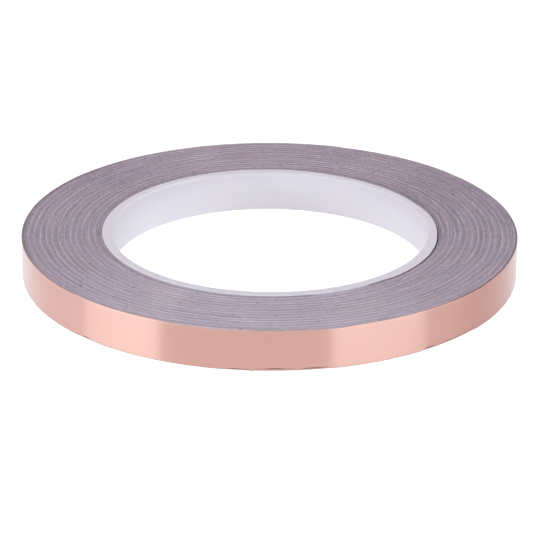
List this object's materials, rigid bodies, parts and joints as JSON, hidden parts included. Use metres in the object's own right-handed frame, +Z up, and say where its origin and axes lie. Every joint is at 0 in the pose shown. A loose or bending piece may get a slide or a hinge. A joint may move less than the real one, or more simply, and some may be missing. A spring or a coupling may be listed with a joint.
{
  "type": "copper foil tape roll",
  "caption": "Flat roll of narrow adhesive-backed copper foil tape with a paper release liner, wound on a white plastic ring core, its free end able to lift and part from the liner.",
  "frame": {"origin": "centre of the roll's underside, on the winding axis", "axes": "+Z up along the winding axis, across the tape's width; the roll lies flat, and the tape's free end is on the +Y side"},
  "size_m": [0.1193, 0.1193, 0.01],
  "materials": {
    "core_plastic": "smooth translucent white moulded plastic",
    "liner_paper": "silicone-coated release paper, seen on its cut edge",
    "clear_adhesive": "clear tacky acrylic adhesive",
    "copper": "bright rolled copper foil, lightly satin"
  },
  "bodies": {
    "roll": {"core": "core_plastic", "release_liner": "liner_paper", "adhesive_layer": "clear_adhesive", "copper_foil": "copper"},
    "tape_end": {"foil_tail": "copper", "adhesive_tail": "clear_adhesive"},
    "liner_end": {"liner_tail": "liner_paper"}
  },
  "joints": [
    {"name": "tape_end_lift", "type": "hinge", "parent": "roll", "child": "tape_end", "pos_m": [-0.01846, 0.05681, 0.005], "axis": [0, 0, 1], "range_deg": [0, 110]},
    {"name": "liner_peel", "type": "hinge", "parent": "roll", "child": "liner_end", "pos_m": [-0.01846, 0.05681, 0.005], "axis": [0, 0, 1], "range_deg": [0, 55]}
  ],
  "couplings": [
    {"joint": "liner_peel", "follows": "tape_end_lift", "ratio": 0.5}
  ]
}
